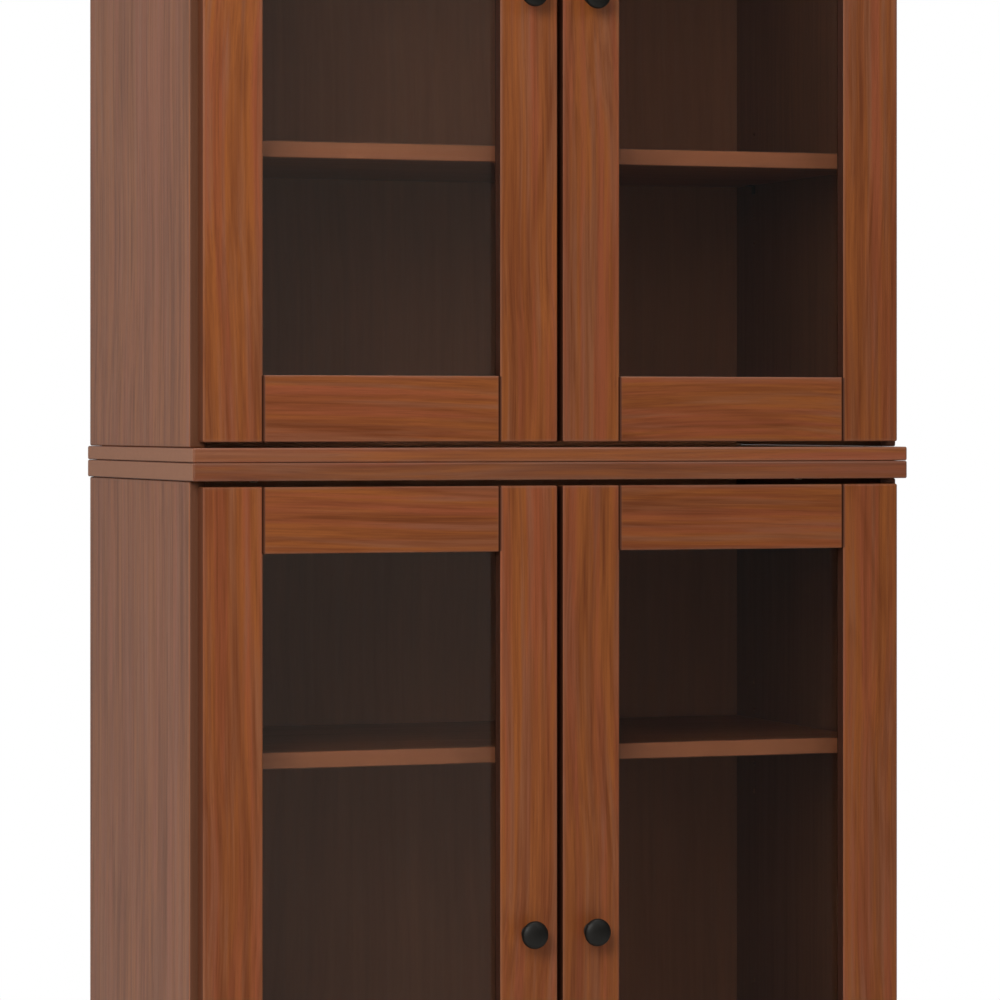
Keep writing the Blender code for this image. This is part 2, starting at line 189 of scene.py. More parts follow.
def new_group(name, inputs, outputs):
    """An empty shader node group with named sockets, and its two end nodes."""
    group = bpy.data.node_groups.new(name, "ShaderNodeTree")
    for label, kind, value in inputs:
        socket = group.interface.new_socket(label, in_out="INPUT", socket_type=kind)
        if value is not None:
            socket.default_value = value
    for label, kind in outputs:
        group.interface.new_socket(label, in_out="OUTPUT", socket_type=kind)
    return group, group.nodes.new("NodeGroupInput"), group.nodes.new("NodeGroupOutput")


def noise_along(tree, vector, across, along, detail=2.0, roughness=0.5):
    """Noise with so many features to the metre across the grain, and so many along it (Z)."""
    scale = vector_math(tree, "MULTIPLY", vector, (across, across, along))
    noise = tree.nodes.new("ShaderNodeTexNoise")
    noise.inputs["Scale"].default_value = 1.0
    noise.inputs["Detail"].default_value = detail
    noise.inputs["Roughness"].default_value = roughness
    tree.links.new(scale.outputs[0], noise.inputs["Vector"])
    return noise.outputs["Fac"]


def ramp(tree, value, low, high):
    """0 below low, 1 above high, and smooth between them."""
    node = tree.nodes.new("ShaderNodeMapRange")
    node.interpolation_type = "SMOOTHSTEP"
    for label, level in (("From Min", low), ("From Max", high)):
        if isinstance(level, (int, float)):
            node.inputs[label].default_value = level
        else:
            tree.links.new(level, node.inputs[label])
    tree.links.new(value, node.inputs["Value"])
    return node.outputs["Result"]


def new_material(name):
    """A material with nodes. Returns it, its tree, its Principled shader and its coordinates."""
    material = bpy.data.materials.new(name)
    material.use_nodes = True
    tree = material.node_tree
    return material, tree, tree.nodes["Principled BSDF"], tree.nodes.new("ShaderNodeTexCoord")


def roughen(tree, shader, height, strength, distance):
    """Leads a height through a bump into a shader's normal."""
    bump = tree.nodes.new("ShaderNodeBump")
    bump.inputs["Strength"].default_value = strength
    bump.inputs["Distance"].default_value = distance
    tree.links.new(height, bump.inputs["Height"])
    tree.links.new(bump.outputs["Normal"], shader.inputs["Normal"])


def build_grain():
    """Figure of a sawn board, grain along Z: broad tone, growth lines, streaks, fibres, pores."""
    group, start, end = new_group(
        "sawn_grain",
        [
            ("Vector", "NodeSocketVector", None),
            ("Pale", "NodeSocketColor", (0.3, 0.1, 0.04, 1)),
            ("Deep", "NodeSocketColor", (0.1, 0.03, 0.01, 1)),
            ("Red", "NodeSocketColor", (0.2, 0.06, 0.03, 1)),
            ("Dusty", "NodeSocketColor", (0.2, 0.08, 0.05, 1)),
            ("Contrast", "NodeSocketFloat", 1.0),
            ("Smoothest", "NodeSocketFloat", 0.4),
        ],
        [
            ("Color", "NodeSocketColor"),
            ("Roughness", "NodeSocketFloat"),
            ("Height", "NodeSocketFloat"),
        ],
    )
    vector = start.outputs["Vector"]
    drift = calc(group, "SUBTRACT", noise_along(group, vector, 1.5, 2.2, 1.0), 0.5)
    sway = calc(group, "MULTIPLY", drift, 0.030)
    push = group.nodes.new("ShaderNodeCombineXYZ")
    group.links.new(sway, push.inputs["X"])
    group.links.new(sway, push.inputs["Y"])
    bent = vector_math(group, "ADD", vector, push.outputs[0]).outputs[0]

    tone = noise_along(group, bent, 20, 1.3, 2.0)
    streak = noise_along(group, bent, 130, 2.6, 3.0, 0.6)
    fibre = noise_along(group, bent, 560, 11, 2.0)
    pore = ramp(group, noise_along(group, bent, 1200, 48, 1.0), 0.60, 0.74)
    ring_count = calc(group, "MULTIPLY", noise_along(group, bent, 6, 0.4, 1.0), 44.0)
    rings = calc(group, "PINGPONG", ring_count, 1.0)
    late_wood = ramp(group, rings, 0.66, 1.0)

    depth = calc(group, "MULTIPLY_ADD", tone, 1.0, -1.71)
    depth = calc(group, "MULTIPLY_ADD", streak, 1.5, depth)
    depth = calc(group, "MULTIPLY_ADD", late_wood, 0.16, depth)
    depth = calc(group, "MULTIPLY_ADD", fibre, 0.85, depth)
    depth = calc(group, "MULTIPLY", depth, start.outputs["Contrast"])
    depth = calc(group, "ADD", depth, 0.36, clamp=True)
    red = ramp(group, noise_along(group, bent, 80, 2.0, 2.0), 0.42, 0.64)
    dusty = ramp(group, noise_along(group, bent, 110, 3.0, 2.0), 0.46, 0.68)
    red_share = calc(group, "MULTIPLY", red, 0.75)
    ground = mixed(group, red_share, start.outputs["Pale"], start.outputs["Red"])
    ground = mixed(group, calc(group, "MULTIPLY", dusty, 0.6), ground, start.outputs["Dusty"])
    stained = mixed(group, depth, ground, start.outputs["Deep"])
    filled = mixed(group, calc(group, "MULTIPLY", pore, 0.28), stained, start.outputs["Deep"])
    group.links.new(filled, end.inputs["Color"])

    rough = calc(group, "MULTIPLY_ADD", streak, 0.12, start.outputs["Smoothest"])
    group.links.new(calc(group, "MULTIPLY_ADD", pore, 0.10, rough), end.inputs["Roughness"])
    height = calc(group, "MULTIPLY", pore, -0.6)
    height = calc(group, "MULTIPLY_ADD", late_wood, -0.25, height)
    height = calc(group, "MULTIPLY_ADD", fibre, 0.35, height)
    group.links.new(height, end.inputs["Height"])
    return group


def build_edge_wear_and_highlight():
    """1 along the edges of a board, fading over the width, and broken up by wear: rubbed wear and
    painted highlight.
    """
    group, start, end = new_group(
        "rubbed_edges",
        [
            ("Vector", "NodeSocketVector", None),
            ("Middle", "NodeSocketVector", None),
            ("Half Size", "NodeSocketVector", None),
            ("Width", "NodeSocketFloat", 0.004),
        ],
        [("Mask", "NodeSocketFloat")],
    )
    offset = vector_math(group, "SUBTRACT", start.outputs["Vector"], start.outputs["Middle"])
    size = vector_math(group, "ABSOLUTE", offset.outputs[0])
    room_left = vector_math(group, "SUBTRACT", start.outputs["Half Size"], size.outputs[0])
    split = group.nodes.new("ShaderNodeSeparateXYZ")
    group.links.new(room_left.outputs[0], split.inputs[0])
    x, y, z = (split.outputs[axis] for axis in range(3))
    # The middle one of the three distances is the distance to the nearest edge of the board.
    lesser = calc(group, "MINIMUM", x, y)
    greater = calc(group, "MAXIMUM", x, y)
    distance = calc(group, "MAXIMUM", lesser, calc(group, "MINIMUM", greater, z))
    near = calc(group, "SUBTRACT", 1.0, ramp(group, distance, 0.0, start.outputs["Width"]))
    worn = ramp(group, noise_along(group, start.outputs["Vector"], 30, 12, 3.0), 0.20, 0.58)
    group.links.new(calc(group, "MULTIPLY", near, worn), end.inputs["Mask"])
    return group


GRAIN = build_grain()
EDGE_WEAR_AND_HIGHLIGHT = build_edge_wear_and_highlight()
GRAIN_TURNS = {"up": (0, 0, 0), "across": (0, pi / 2, 0), "back": (pi / 2, 0, 0)}
EDGE_WEAR_HIGHLIGHT_SHARE = 0.50
EDGE_WEAR_HIGHLIGHT_WIDTH = 0.0045
WARM = {
    "pale": (0.290, 0.085, 0.018), "red": (0.280, 0.068, 0.029),
    "dusty": (0.240, 0.095, 0.050), "deep": (0.155, 0.037, 0.007),
}


def stained_wood(
    node, grain, shift, tones, contrast=1.35, smoothest=0.38, coat=0.14, gloss=0.5, edges=(), joint=None
):
    """Stained, lacquered wood for a CAD node's board, with its grain running up, across or back.

    edges are (direction, colour, share): faces that look that way take that much of the colour, as
    painted light or painted shade.
    joint, if given, darkens the lines where a frame is joined, with gathered stain and painted groove
    shade.
    """
    low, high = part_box(node)
    material, tree, shader, places = new_material(f"{node}_wood")
    turn = tree.nodes.new("ShaderNodeMapping")
    turn.inputs["Rotation"].default_value = GRAIN_TURNS[grain]
    turn.inputs["Location"].default_value = shift
    tree.links.new(places.outputs["Object"], turn.inputs["Vector"])
    figure = tree.nodes.new("ShaderNodeGroup")
    figure.node_tree = GRAIN
    tree.links.new(turn.outputs["Vector"], figure.inputs["Vector"])
    for label, colour in tones.items():
        figure.inputs[label.capitalize()].default_value = (*colour, 1)
    figure.inputs["Contrast"].default_value = contrast
    figure.inputs["Smoothest"].default_value = smoothest
    # Rubbed wear and painted highlight: the board's edges are mixed towards the paler, greyer dusty
    # tone.
    wear = tree.nodes.new("ShaderNodeGroup")
    wear.node_tree = EDGE_WEAR_AND_HIGHLIGHT
    tree.links.new(places.outputs["Object"], wear.inputs["Vector"])
    wear.inputs["Middle"].default_value = (low + high) / 2
    wear.inputs["Half Size"].default_value = (high - low) / 2
    wear.inputs["Width"].default_value = EDGE_WEAR_HIGHLIGHT_WIDTH
    share = calc(tree, "MULTIPLY", wear.outputs["Mask"], EDGE_WEAR_HIGHLIGHT_SHARE)
    colour = mixed(tree, share, figure.outputs["Color"], (*tones["dusty"], 1))
    rough = figure.outputs["Roughness"]
    shader.inputs["Specular IOR Level"].default_value = gloss
    shader.inputs["Coat Weight"].default_value = coat
    shader.inputs["Coat Roughness"].default_value = 0.28
    # Painted light and painted shade: faces that look a given way take a given colour.
    for direction, painted_face_tone, painted_face_share in edges:
        facing = vector_math(tree, "DOT_PRODUCT", places.outputs["Normal"], direction)
        painted_face_mask = ramp(tree, facing.outputs["Value"], 0.80, 0.97)
        colour = mixed(tree, calc(tree, "MULTIPLY", painted_face_mask, painted_face_share), colour, (*painted_face_tone, 1))
        rough = calc(tree, "MULTIPLY_ADD", painted_face_mask, 0.20, rough)
    if joint:
        colour = joint(tree, places.outputs["Object"], colour)
    tree.links.new(colour, shader.inputs["Base Color"])
    tree.links.new(rough, shader.inputs["Roughness"])
    roughen(tree, shader, figure.outputs["Height"], 0.25, 0.0004)
    return material


def dress(node, material):
    """Puts a material on a CAD node that stays as it is."""
    nodes[node].data.materials.clear()
    nodes[node].data.materials.append(material)


PLINTH_GRAIN = {
    "plinth_front": "across", "plinth_back": "across", "plinth_left": "back", "plinth_right": "back",
}
for number, (node, grain) in enumerate(PLINTH_GRAIN.items()):
    shift = (0.4 + 0.7 * number, 0.31 * number, 0.2)
    dress(node, stained_wood(node, grain, shift, WARM))

# ------------------------------------------------------------------ case sides
# Four upright boards between the slabs, of the same stained wood, in a paler, greyer copy of its
# tones as painted sheen, with painted shade on their front edges and inner faces. Inside they are
# drilled with two columns of pin holes round each shelf, and with the seats of four cam locks.


def new_tree(name, sockets):
    """A geometry node tree with named inputs after its geometry, and its two end nodes."""
    tree = bpy.data.node_groups.new(name, "GeometryNodeTree")
    tree.interface.new_socket("Geometry", in_out="INPUT", socket_type="NodeSocketGeometry")
    for label, kind in sockets:
        tree.interface.new_socket(label, in_out="INPUT", socket_type=kind)
    tree.interface.new_socket("Material", in_out="INPUT", socket_type="NodeSocketMaterial")
    tree.interface.new_socket("Geometry", in_out="OUTPUT", socket_type="NodeSocketGeometry")
    return tree, tree.nodes.new("NodeGroupInput"), tree.nodes.new("NodeGroupOutput")


def add_node(tree, kind, **inputs):
    """Adds a node. Its inputs, named by label with _ for a space, are sockets or plain values."""
    node = tree.nodes.new(kind)
    for label, value in inputs.items():
        socket = node.inputs[label.replace("_", " ")]
        if isinstance(value, bpy.types.NodeSocket):
            tree.links.new(value, socket)
        else:
            socket.default_value = value
    return node


def close_tree(tree, start, end, geometry):
    """Ends a tree in Realize Instances and Set Material."""
    real = add_node(tree, "GeometryNodeRealizeInstances", Geometry=geometry)
    painted = add_node(
        tree, "GeometryNodeSetMaterial", Geometry=real.outputs[0], Material=start.outputs["Material"]
    )
    tree.links.new(painted.outputs[0], end.inputs[0])


def on_points(tree, points, instance):
    """The instance on each point, turned by the point's own turn."""
    turn = tree.nodes.new("GeometryNodeInputNamedAttribute")
    turn.data_type = "FLOAT_VECTOR"
    turn.inputs["Name"].default_value = "turn"
    rotation = add_node(tree, "FunctionNodeEulerToRotation", Euler=turn.outputs["Attribute"])
    turns = rotation.outputs[0]
    spread = add_node(
        tree, "GeometryNodeInstanceOnPoints", Points=points, Instance=instance, Rotation=turns
    )
    return spread.outputs[0]


def bool_of(tree, operation, first, others):
    """An exact boolean of meshes in a geometry node tree. Returns its output."""
    node = tree.nodes.new("GeometryNodeMeshBoolean")
    node.operation = operation
    node.solver = "EXACT"
    if first is not None:
        tree.links.new(first, node.inputs["Mesh 1"])
    for other in others:
        tree.links.new(other, node.inputs["Mesh 2"])
    return node.outputs["Mesh"]


def spots_mesh(name, spots):
    """Loose points from (place, facing) pairs. Each keeps the turn that faces its Z that way."""
    mesh = bpy.data.meshes.new(name)
    mesh.from_pydata([tuple(place) for place, facing in spots], [], [])
    turn = mesh.attributes.new("turn", "FLOAT_VECTOR", "POINT")
    for item, (place, facing) in zip(turn.data, spots):
        item.vector = facing.to_track_quat("Z", "Y").to_euler()
    return mesh


def mesh_after(item):
    """A plain mesh of an object as its modifiers leave it."""
    bpy.context.view_layer.update()
    graph = bpy.context.evaluated_depsgraph_get()
    return bpy.data.meshes.new_from_object(item.evaluated_get(graph), depsgraph=graph)


def grown(name, tree, source, material, smooth=None, **values):
    """Runs a tree on a mesh and returns a plain mesh object. Inputs are set by identifier."""
    seed = bpy.data.objects.new(name + "_seed", source)
    bpy.context.scene.collection.objects.link(seed)
    modifier = seed.modifiers.new("grow", "NODES")
    modifier.node_group = tree
    values["Material"] = material
    for item in tree.interface.items_tree:
        label = item.name.replace(" ", "_")
        if item.item_type == "SOCKET" and item.in_out == "INPUT" and label in values:
            modifier[item.identifier] = values[label]
    mesh = mesh_after(seed)
    bpy.data.objects.remove(seed, do_unlink=True)
    mesh.name = name
    mesh.materials.clear()
    mesh.materials.append(material)
    mesh.polygons.foreach_set("material_index", [0] * len(mesh.polygons))
    if smooth:
        mesh.shade_smooth()
        mesh.set_sharp_from_angle(angle=smooth)
    return add_piece(name, mesh)


def add_piece(name, mesh):
    """Puts a mesh in the scene as an object of its own."""
    piece = bpy.data.objects.new(name, mesh)
    bpy.context.scene.collection.objects.link(piece)
    return piece


def build_drilled():
    """Bores a blind hole into the board at each point of another mesh."""
    tree, start, end = new_tree(
        "drilled_board",
        [
            ("Holes", "NodeSocketObject"),
            ("Hole Radius", "NodeSocketFloat"),
            ("Hole Depth", "NodeSocketFloat"),
        ],
    )
    board = start.outputs["Geometry"]
    whole = add_node(tree, "GeometryNodeMergeByDistance", Geometry=board, Distance=1e-5)
    drill = add_node(
        tree,
        "GeometryNodeMeshCylinder",
        Vertices=20,
        Radius=start.outputs["Hole Radius"],
        Depth=calc(tree, "MULTIPLY", start.outputs["Hole Depth"], 2.0),
    )
    marks = add_node(tree, "GeometryNodeObjectInfo", Object=start.outputs["Holes"])
    drills = on_points(tree, marks.outputs["Geometry"], drill.outputs["Mesh"])
    solid = add_node(tree, "GeometryNodeRealizeInstances", Geometry=drills)
    bored = bool_of(tree, "DIFFERENCE", whole.outputs[0], [solid.outputs[0]])
    close_tree(tree, start, end, bored)
    return tree


# A paler, greyer copy of the wood for the side boards: painted sheen. Their front edges and inner faces
# take painted shade.
SIDE_WOOD_PAINTED_SHEEN = {
    "pale": (0.330, 0.112, 0.034), "red": (0.315, 0.098, 0.046),
    "dusty": (0.290, 0.122, 0.066), "deep": (0.190, 0.058, 0.016),
}
SIDE_EDGE_PAINTED_SHADE = (0.095, 0.027, 0.006)
SIDE_INNER_PAINTED_SHADE = (0.090, 0.030, 0.012)
PIN_HOLE_RADIUS = 0.0025
PIN_HOLE_DEPTH = 0.010
PIN_PITCH = 0.032
HOLES_EACH_WAY = 2
PIN_FROM_SHELF_FRONT = 0.040
PIN_FROM_SHELF_BACK = 0.050
PIN_TO_SHELF = 0.0040
CAM_RADIUS = 0.0075
CAM_DEPTH = 0.0122
CAM_FROM_END = 0.034
CAM_FROM_EDGE = 0.060
DRILLED = build_drilled()
pin_spots = []
cam_spots = []
for tier_number, tier in enumerate(TIERS):
    for hand, sign in HANDS:
        node = f"{tier}_{hand}_side"
        low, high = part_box(node)
        inner = high.x if sign < 0 else low.x
        inward = Vector((-sign, 0, 0))
        holes = []
        for shelf in (1, 2):
            shelf_low, shelf_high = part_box(f"{tier}_shelf_{shelf}")
            pin_height = shelf_low.z - PIN_TO_SHELF
            for y in (shelf_low.y + PIN_FROM_SHELF_FRONT, shelf_high.y - PIN_FROM_SHELF_BACK):
                pin_spots.append((Vector((inner, y, pin_height)), inward))
                for step in range(-HOLES_EACH_WAY, HOLES_EACH_WAY + 1):
                    holes.append((Vector((inner, y, pin_height + step * PIN_PITCH)), inward))
        cams = [
            (Vector((inner, y, z)), inward)
            for y in (low.y + CAM_FROM_EDGE, high.y - CAM_FROM_EDGE)
            for z in (low.z + CAM_FROM_END, high.z - CAM_FROM_END)
        ]
        cam_spots += cams
        shift = (0.37 * tier_number + 0.11 * sign, 0.2, 1.3 * tier_number)
        # Painted shade on each side's front edge and on its inner face.
        side_faces = [((0, -1, 0), SIDE_EDGE_PAINTED_SHADE, 0.85), ((-sign, 0, 0), SIDE_INNER_PAINTED_SHADE, 0.75)]
        wood = stained_wood(node, "up", shift, SIDE_WOOD_PAINTED_SHEEN, contrast=1.7, edges=side_faces)
        board = nodes[node].data.copy()
        board.attributes.remove(board.attributes["custom_normal"])
        for radius, depth, spots in (
            (PIN_HOLE_RADIUS, PIN_HOLE_DEPTH, holes),
            (CAM_RADIUS, CAM_DEPTH, cams),
        ):
            marker = add_piece(f"{node}_marks", spots_mesh(f"{node}_marks", spots))
            bore = {"Holes": marker, "Hole_Radius": radius, "Hole_Depth": depth}
            drilled = grown(f"{node}_drilled", DRILLED, board, wood, **bore)
            bpy.data.objects.remove(marker, do_unlink=True)
            board = drilled.data
            if spots is holes:
                bpy.data.objects.remove(drilled, do_unlink=True)
        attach(drilled, "cabinet")
        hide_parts(node)

# ------------------------------------------------------------------ cam locks
# Cast zinc cams in the seats near the ends of the sides, with a cross to turn them by. Each one
# draws a bolt that stands in the slab above or below.


def metal(name, colour, roughness, across, along, metallic=1.0, wear=0.0):
    """Plated, cast or painted metal with a mottled sheen and fine scratches."""
    material, tree, shader, places = new_material(name)
    scratch = noise_along(tree, places.outputs["Object"], across, along, 3.0)
    mottle = noise_along(tree, places.outputs["Object"], 140, 140, 3.0)
    darker = tuple(value * 0.68 for value in colour)
    tone = mixed(tree, calc(tree, "MULTIPLY", mottle, 0.6), (*colour, 1), (*darker, 1))
    if wear:
        bare = calc(tree, "MULTIPLY", ramp(tree, scratch, 0.62, 0.80), wear)
        tone = mixed(tree, bare, tone, (0.20, 0.19, 0.18, 1))
    tree.links.new(tone, shader.inputs["Base Color"])
    rough = calc(tree, "MULTIPLY_ADD", scratch, 0.24, roughness - 0.12)
    tree.links.new(rough, shader.inputs["Roughness"])
    shader.inputs["Metallic"].default_value = metallic
    roughen(tree, shader, scratch, 0.10, 0.0002)
    return material


SMOOTH_BELOW = radians(35)
HEAD_SIZES = ("Radius", "Height", "Buried", "Crown", "Slot_Length", "Slot_Width", "Slot_Depth")


def shifted(tree, geometry, place):
    """The geometry moved by the vector that the place node gives."""
    move = add_node(tree, "GeometryNodeTransform", Geometry=geometry, Translation=place.outputs[0])
    return move.outputs[0]


def build_heads():
    """A head with a cross recess on each point: a skirt, a lower crown and the two slots."""
    tree, start, end = new_tree(
        "cross_heads",
        [(label.replace("_", " "), "NodeSocketFloat") for label in HEAD_SIZES],
    )
    radius, height = start.outputs["Radius"], start.outputs["Height"]
    full = calc(tree, "ADD", height, start.outputs["Buried"])
    skirt = add_node(
        tree,
        "GeometryNodeMeshCone",
        Vertices=24,
        Radius_Bottom=radius,
        Radius_Top=calc(tree, "MULTIPLY", radius, 0.94),
        Depth=calc(tree, "SUBTRACT", full, calc(tree, "MULTIPLY", height, 0.4)),
    )
    crown = add_node(
        tree,
        "GeometryNodeMeshCone",
        Vertices=24,
        Radius_Bottom=calc(tree, "MULTIPLY", radius, 0.90),
        Radius_Top=calc(tree, "MULTIPLY", radius, start.outputs["Crown"]),
        Depth=calc(tree, "MULTIPLY", height, 0.6),
    )
    rise = add_node(tree, "ShaderNodeCombineXYZ", Z=calc(tree, "MULTIPLY_ADD", height, -0.6, full))
    raised = shifted(tree, crown.outputs["Mesh"], rise)
    head = bool_of(tree, "UNION", None, [skirt.outputs["Mesh"], raised])
    top = add_node(tree, "ShaderNodeCombineXYZ", Z=full)
    slots = []
    for across, along in (("Slot Length", "Slot Width"), ("Slot Width", "Slot Length")):
        size = add_node(
            tree,
            "ShaderNodeCombineXYZ",
            X=start.outputs[across],
            Y=start.outputs[along],
            Z=calc(tree, "MULTIPLY", start.outputs["Slot Depth"], 2.0),
        )
        box = add_node(tree, "GeometryNodeMeshCube", Size=size.outputs[0])
        slots.append(shifted(tree, box.outputs["Mesh"], top))
    slotted = bool_of(tree, "DIFFERENCE", head, slots)
    downwards = calc(tree, "MULTIPLY", start.outputs["Buried"], -1.0)
    seated = shifted(tree, slotted, add_node(tree, "ShaderNodeCombineXYZ", Z=downwards))
    close_tree(tree, start, end, on_points(tree, start.outputs["Geometry"], seated))
    return tree


def heads(name, spots, material, sizes):
    """One piece of cross-recess heads, one at each (place, facing) pair."""
    return grown(name, HEADS, spots_mesh(name, spots), material, SMOOTH_BELOW, **sizes)


HEADS = build_heads()
ZINC = metal("cast_zinc", (0.42, 0.42, 0.41), 0.48, 900, 900)
CAM = {
    "Radius": 0.0074, "Height": 0.0001, "Buried": 0.0118, "Crown": 0.85,
    "Slot_Length": 0.0088, "Slot_Width": 0.0018, "Slot_Depth": 0.0030,
}
CAM_BELOW_FACE = 0.0003
sunk_cams = [(place - facing * CAM_BELOW_FACE, facing) for place, facing in cam_spots]
cams = heads("cam_locks", sunk_cams, ZINC, CAM)
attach(cams, "cabinet")

# ------------------------------------------------------------------ slabs
# The boards across the case, proud of it at the sides and front. The lower tier's top and the
# upper tier's bottom lie on each other and are drawn together by four screws from below.



def toned(tones, share):
    """A set of wood tones, all made lighter or darker by a share."""
    return {name: tuple(value * share for value in colour) for name, colour in tones.items()}


SLAB_TONES = {
    "lower_bottom_board": 0.95, "lower_top_board": 0.77,
    "upper_bottom_board": 0.96, "upper_top_board": 1.0,
}
# The slabs' ends take a paler, greyer colour: painted sheen.
SLAB_END_PAINTED_SHEEN = (0.350, 0.155, 0.084)
for number, node in enumerate(SLAB_TONES):
    shift = (0.9 * number, 0.31 * number, 0.07 + 0.53 * number)
    # Painted sheen on both ends of each slab.
    ends = [((side, 0, 0), SLAB_END_PAINTED_SHEEN, 0.9) for side in (-1, 1)]
    tones = toned(WARM, SLAB_TONES[node])
    dress(node, stained_wood(node, "across", shift, tones, edges=ends))

NICKEL = metal("nickel_plate", (0.66, 0.65, 0.62), 0.30, 1600, 120)
TIE_SCREW = {
    "Radius": 0.0055, "Height": 0.0024, "Buried": 0.0004, "Crown": 0.62,
    "Slot_Length": 0.0050, "Slot_Width": 0.0011, "Slot_Depth": 0.0014,
}
TIE_FROM_SIDE = 0.070
TIE_FROM_FRONT = 0.065
TIE_FROM_BACK = 0.070
inner_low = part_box("lower_left_side")[1].x
inner_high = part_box("lower_right_side")[0].x
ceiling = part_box("lower_top_board")[0].z
tie_spots = [
    (Vector((x, y, ceiling)), Vector((0, 0, -1)))
    for x in (inner_low + TIE_FROM_SIDE, inner_high - TIE_FROM_SIDE)
    for y in (case_low.y + TIE_FROM_FRONT, case_high.y - TIE_FROM_BACK)
]
ties = heads("tie_screws", tie_spots, NICKEL, TIE_SCREW)
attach(ties, "cabinet")

# ------------------------------------------------------------------ back panels
# Thin veneered panels that stand in grooves in the boards round them, stained like the rest and
# left flatter, with the grain upright.

INSIDE = {
    "pale": (0.292, 0.108, 0.045), "red": (0.284, 0.100, 0.043),
    "dusty": (0.271, 0.108, 0.053), "deep": (0.224, 0.076, 0.030),
}
for number, tier in enumerate(TIERS):
    node = f"{tier}_back_panel"
    shift = (0.5 + number, 0.3, 0.8 * number)
    dress(node, stained_wood(node, "up", shift, INSIDE, contrast=0.7, smoothest=0.5, coat=0.05))

# ------------------------------------------------------------------ shelves
# Loose boards with eased edges, each lying on four bent steel pins with a dark bronze finish:
# a shank pushed into the drilled hole, and a plate bent outwards for the shelf to lie on.

# A light colour for the shelves' front edges: painted light, as if lit through the panes.
SHELF_FRONT_PAINTED_LIGHT = (0.57, 0.185, 0.072)
for number, tier in enumerate(TIERS):
    for shelf in (1, 2):
        node = f"{tier}_shelf_{shelf}"
        shift = (0.6 * shelf, 0.17 * number, 0.41 * shelf + number)
        dress(node, stained_wood(node, "across", shift, WARM, edges=[((0, -1, 0), SHELF_FRONT_PAINTED_LIGHT, 0.65)]))


SHANK_BURIED = 0.45
LEDGE_WIDTH_SHARE = 0.96
WALL_CLEARANCE = 0.0002
LEDGE_CLEARANCE = 0.0004
LEDGE_DROP = 0.00002


def build_pins():
    """A shelf pin on each point. Its shank lies along Z, into the room, and its plate is up (Y)."""
    tree, start, end = new_tree(
        "shelf_pins",
        [(label.replace("_", " "), "NodeSocketFloat") for label in PIN],
    )
    shank = add_node(
        tree,
        "GeometryNodeMeshCylinder",
        Vertices=20,
        Radius=start.outputs["Shank Radius"],
        Depth=start.outputs["Shank Length"],
    )
    back = calc(tree, "MULTIPLY", start.outputs["Shank Length"], -SHANK_BURIED)
    shank_place = add_node(tree, "ShaderNodeCombineXYZ", Z=back)
    parts = [
        shifted(tree, shank.outputs["Mesh"], shank_place)
    ]
    width, thick, top = start.outputs["Plate Width"], start.outputs["Metal"], start.outputs["Plate Top"]
    drop, reach = start.outputs["Plate Drop"], start.outputs["Plate Reach"]
    upright = calc(tree, "ADD", top, drop)
    half_thick = calc(tree, "MULTIPLY", thick, 0.5)
    ledge_width = calc(tree, "MULTIPLY", width, LEDGE_WIDTH_SHARE)
    wall = (
        add_node(tree, "ShaderNodeCombineXYZ", X=width, Y=upright, Z=thick),
        add_node(
            tree,
            "ShaderNodeCombineXYZ",
            Y=calc(tree, "MULTIPLY", calc(tree, "SUBTRACT", top, drop), 0.5),
            Z=calc(tree, "ADD", half_thick, WALL_CLEARANCE),
        ),
    )
    ledge = (
        add_node(tree, "ShaderNodeCombineXYZ", X=ledge_width, Y=thick, Z=reach),
        add_node(
            tree,
            "ShaderNodeCombineXYZ",
            Y=calc(tree, "SUBTRACT", calc(tree, "SUBTRACT", top, half_thick), LEDGE_DROP),
            Z=calc(tree, "MULTIPLY_ADD", reach, 0.5, LEDGE_CLEARANCE),
        ),
    )
    for size, place in (wall, ledge):
        box = add_node(tree, "GeometryNodeMeshCube", Size=size.outputs[0])
        parts.append(shifted(tree, box.outputs["Mesh"], place))
    pin = bool_of(tree, "UNION", None, parts)
    close_tree(tree, start, end, on_points(tree, start.outputs["Geometry"], pin))
    return tree


BRONZE = metal("bronze_plate", (0.085, 0.060, 0.042), 0.42, 1400, 1400)
PIN = {
    "Shank_Radius": 0.0024, "Shank_Length": 0.0085, "Plate_Width": 0.0080, "Plate_Reach": 0.0078,
    "Plate_Drop": 0.0065, "Plate_Top": 0.0039, "Metal": 0.0012,
}
pin_marks = spots_mesh("shelf_pins", pin_spots)
pins = grown("shelf_pins", build_pins(), pin_marks, BRONZE, SMOOTH_BELOW, **PIN)
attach(pins, "cabinet")

# ------------------------------------------------------------------ door frames
# Two stiles and two rails to a door, glued on short tenons. Each piece keeps its own grain, and
# the lines where their eased edges meet are darkened by gathered stain and by painted groove
# shade. Both doors are toned down as painted shade, and the frames' side faces take painted shade.


